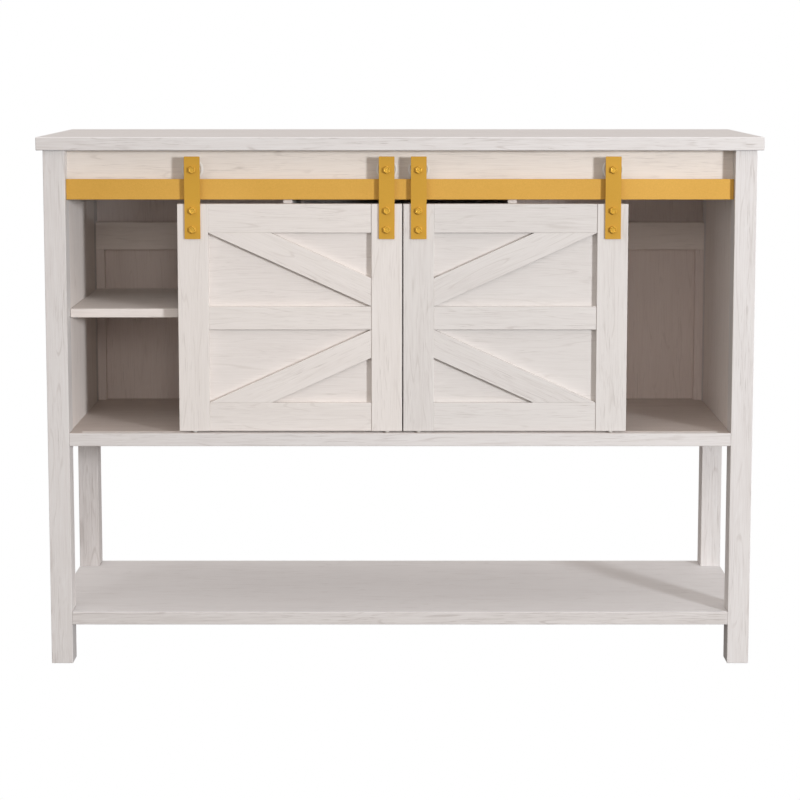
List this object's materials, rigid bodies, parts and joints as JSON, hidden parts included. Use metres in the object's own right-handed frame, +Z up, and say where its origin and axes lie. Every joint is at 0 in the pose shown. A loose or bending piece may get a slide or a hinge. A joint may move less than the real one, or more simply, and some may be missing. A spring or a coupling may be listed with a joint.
{
  "type": "sideboard buffet",
  "caption": "Farmhouse sideboard on square legs with a boxed cabinet, an open bay with a low shelf, and sliding K-brace barn doors hung by straps and rollers on a flat track.",
  "frame": {"origin": "on the ground under the middle of the top panel, which is also the middle of the footprint", "axes": "+X to the right along the length as seen from the front, +Y from the front to the back (the doors face -Y), +Z up"},
  "size_m": [1.2, 0.4, 0.89],
  "materials": {
    "whitewashed_board": "whitewashed wood-grain foil, matt",
    "back_board": "printed hardboard, matt",
    "gold_metal": "fine-textured gold powder coat, satin",
    "roller_plastic": "off-white nylon, satin",
    "zinc_steel": "bright zinc",
    "dowel_wood": "plain beech"
  },
  "bodies": {
    "cabinet": {"back_left_leg": "whitewashed_board", "back_panel": "back_board", "back_panel_nails": "zinc_steel", "back_right_leg": "whitewashed_board", "bottom_shelf": "whitewashed_board", "cabinet_floor": "whitewashed_board", "cam_bolts": "zinc_steel", "cam_locks": "zinc_steel", "front_fascia": "whitewashed_board", "front_left_leg": "whitewashed_board", "front_right_leg": "whitewashed_board", "left_back_batten": "whitewashed_board", "left_divider": "whitewashed_board", "left_shelf": "whitewashed_board", "left_side_panel": "whitewashed_board", "rear_stretcher": "whitewashed_board", "right_back_batten": "whitewashed_board", "right_divider": "whitewashed_board", "right_side_panel": "whitewashed_board", "shelf_pins": "zinc_steel", "top_panel": "whitewashed_board", "track_rail": "gold_metal", "track_screws": "zinc_steel", "track_spacers": "zinc_steel", "wood_dowels": "dowel_wood"},
    "left_door": {"left_door_axle_bolts": "gold_metal", "left_door_axle_nuts": "zinc_steel", "left_door_axle_washers": "gold_metal", "left_door_bottom_rail": "whitewashed_board", "left_door_guide_pins": "roller_plastic", "left_door_lower_brace": "whitewashed_board", "left_door_meeting_stile": "whitewashed_board", "left_door_meeting_strap": "gold_metal", "left_door_middle_rail": "whitewashed_board", "left_door_outer_stile": "whitewashed_board", "left_door_outer_strap": "gold_metal", "left_door_panel": "whitewashed_board", "left_door_strap_screws": "gold_metal", "left_door_top_rail": "whitewashed_board", "left_door_upper_brace": "whitewashed_board"},
    "right_door": {"right_door_axle_bolts": "gold_metal", "right_door_axle_nuts": "zinc_steel", "right_door_axle_washers": "gold_metal", "right_door_bottom_rail": "whitewashed_board", "right_door_guide_pins": "roller_plastic", "right_door_lower_brace": "whitewashed_board", "right_door_meeting_stile": "whitewashed_board", "right_door_meeting_strap": "gold_metal", "right_door_middle_rail": "whitewashed_board", "right_door_outer_stile": "whitewashed_board", "right_door_outer_strap": "gold_metal", "right_door_panel": "whitewashed_board", "right_door_strap_screws": "gold_metal", "right_door_top_rail": "whitewashed_board", "right_door_upper_brace": "whitewashed_board"},
    "left_door_meeting_roller": {"left_door_meeting_roller": "roller_plastic"},
    "left_door_outer_roller": {"left_door_outer_roller": "roller_plastic"},
    "right_door_meeting_roller": {"right_door_meeting_roller": "roller_plastic"},
    "right_door_outer_roller": {"right_door_outer_roller": "roller_plastic"}
  },
  "joints": [
    {"name": "left_door_slide", "type": "slide", "parent": "cabinet", "child": "left_door", "axis": [1, 0, 0], "range_m": [-0.1825, 0]},
    {"name": "right_door_slide", "type": "slide", "parent": "cabinet", "child": "right_door", "axis": [1, 0, 0], "range_m": [0, 0.1735]},
    {"name": "left_door_meeting_roller_spin", "type": "hinge", "parent": "left_door", "child": "left_door_meeting_roller", "pos_m": [-0.022, -0.177, 0.8357], "axis": [0, 1, 0], "range_deg": [-675, 0]},
    {"name": "left_door_outer_roller_spin", "type": "hinge", "parent": "left_door", "child": "left_door_outer_roller", "pos_m": [-0.344, -0.177, 0.8357], "axis": [0, 1, 0], "range_deg": [-675, 0]},
    {"name": "right_door_meeting_roller_spin", "type": "hinge", "parent": "right_door", "child": "right_door_meeting_roller", "pos_m": [0.031, -0.177, 0.8357], "axis": [0, 1, 0], "range_deg": [0, 642]},
    {"name": "right_door_outer_roller_spin", "type": "hinge", "parent": "right_door", "child": "right_door_outer_roller", "pos_m": [0.353, -0.177, 0.8357], "axis": [0, 1, 0], "range_deg": [0, 642]}
  ],
  "couplings": [
    {"joint": "left_door_meeting_roller_spin", "follows": "left_door_slide", "rad_per_m": 64.516},
    {"joint": "left_door_outer_roller_spin", "follows": "left_door_slide", "rad_per_m": 64.516},
    {"joint": "right_door_meeting_roller_spin", "follows": "right_door_slide", "rad_per_m": 64.516},
    {"joint": "right_door_outer_roller_spin", "follows": "right_door_slide", "rad_per_m": 64.516}
  ]
}
